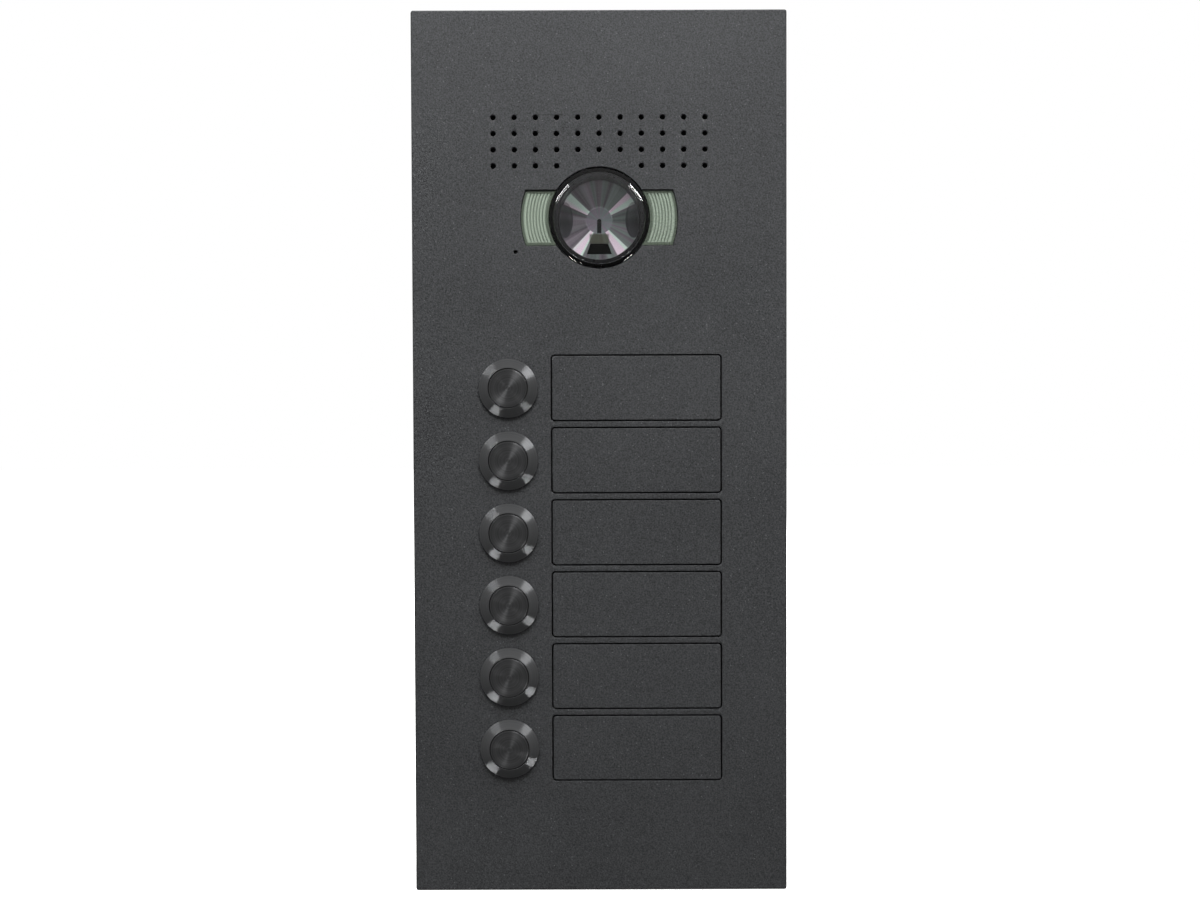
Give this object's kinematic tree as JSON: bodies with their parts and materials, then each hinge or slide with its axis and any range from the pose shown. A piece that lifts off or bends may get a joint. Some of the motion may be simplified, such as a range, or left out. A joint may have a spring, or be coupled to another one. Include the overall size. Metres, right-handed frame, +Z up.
{
  "type": "door intercom panel",
  "caption": "Surface-mounted door intercom panel with a camera dome, light windows, speech grille, call buttons and blank name plates.",
  "frame": {"origin": "centre of the housing's flat rear face, which lies on the wall", "axes": "+Z up the panel; the front looks along -Y, away from the wall; +X to the right of someone who faces the panel"},
  "size_m": [0.14, 0.05, 0.33],
  "materials": {
    "powder_coat": "satin",
    "black_anodised": "satin",
    "clear_polycarbonate": "gloss",
    "frosted_polycarbonate": "satin",
    "reflector_metal": "polished",
    "black_gloss_plastic": "gloss",
    "black_plastic": "matte",
    "lens_glass": "gloss",
    "rubber": "matte",
    "zinc_plated_steel": "satin",
    "stainless_steel": "satin",
    "circuit_board": "satin",
    "board_components": "satin",
    "led_phosphor": "satin",
    "speaker_paper": "matte",
    "acoustic_mesh": "matte",
    "green_plastic": "satin",
    "brass": "satin"
  },
  "bodies": {
    "panel": {"front_plate": "powder_coat", "rear_housing": "powder_coat", "name_plate_1": "powder_coat", "name_plate_2": "powder_coat", "name_plate_3": "powder_coat", "name_plate_4": "powder_coat", "name_plate_5": "powder_coat", "name_plate_6": "powder_coat", "button_housing_1": "black_anodised", "button_housing_2": "black_anodised", "button_housing_3": "black_anodised", "button_housing_4": "black_anodised", "button_housing_5": "black_anodised", "button_housing_6": "black_anodised", "camera_dome": "clear_polycarbonate", "window_left": "frosted_polycarbonate", "window_right": "frosted_polycarbonate", "reflector": "reflector_metal", "camera_shroud": "black_gloss_plastic", "av_case": "black_plastic", "lens_holder": "black_plastic", "speaker_frame": "black_plastic", "contact_blocks": "black_plastic", "camera_lens": "lens_glass", "plate_gasket": "rubber", "av_gasket": "rubber", "dome_seal": "rubber", "cable_grommet": "rubber", "microphone_boot": "rubber", "button_seals": "rubber", "hook_brackets": "zinc_plated_steel", "lock_bracket": "zinc_plated_steel", "name_backing": "zinc_plated_steel", "stud_nuts": "zinc_plated_steel", "button_nuts": "zinc_plated_steel", "security_screws": "stainless_steel", "module_screws": "stainless_steel", "microphone": "stainless_steel", "button_spring_1": "stainless_steel", "button_spring_2": "stainless_steel", "button_spring_3": "stainless_steel", "button_spring_4": "stainless_steel", "button_spring_5": "stainless_steel", "button_spring_6": "stainless_steel", "camera_board": "circuit_board", "led_boards": "circuit_board", "main_board": "circuit_board", "button_board": "circuit_board", "board_parts": "board_components", "leds": "led_phosphor", "speaker_cone": "speaker_paper", "speaker_mesh": "acoustic_mesh", "terminal_block": "green_plastic", "button_terminals": "brass"},
    "button_1": {"button_cap_1": "black_anodised"},
    "button_2": {"button_cap_2": "black_anodised"},
    "button_3": {"button_cap_3": "black_anodised"},
    "button_4": {"button_cap_4": "black_anodised"},
    "button_5": {"button_cap_5": "black_anodised"},
    "button_6": {"button_cap_6": "black_anodised"}
  },
  "joints": [
    {"name": "button_1_press", "type": "slide", "parent": "panel", "child": "button_1", "axis": [0, 1, 0], "range_m": [0, 0.002], "stiffness_N_per_m": 1200, "springref_m": -0.001, "deforming": ["button_spring_1"]},
    {"name": "button_2_press", "type": "slide", "parent": "panel", "child": "button_2", "axis": [0, 1, 0], "range_m": [0, 0.002], "stiffness_N_per_m": 1200, "springref_m": -0.001, "deforming": ["button_spring_2"]},
    {"name": "button_3_press", "type": "slide", "parent": "panel", "child": "button_3", "axis": [0, 1, 0], "range_m": [0, 0.002], "stiffness_N_per_m": 1200, "springref_m": -0.001, "deforming": ["button_spring_3"]},
    {"name": "button_4_press", "type": "slide", "parent": "panel", "child": "button_4", "axis": [0, 1, 0], "range_m": [0, 0.002], "stiffness_N_per_m": 1200, "springref_m": -0.001, "deforming": ["button_spring_4"]},
    {"name": "button_5_press", "type": "slide", "parent": "panel", "child": "button_5", "axis": [0, 1, 0], "range_m": [0, 0.002], "stiffness_N_per_m": 1200, "springref_m": -0.001, "deforming": ["button_spring_5"]},
    {"name": "button_6_press", "type": "slide", "parent": "panel", "child": "button_6", "axis": [0, 1, 0], "range_m": [0, 0.002], "stiffness_N_per_m": 1200, "springref_m": -0.001, "deforming": ["button_spring_6"]}
  ]
}
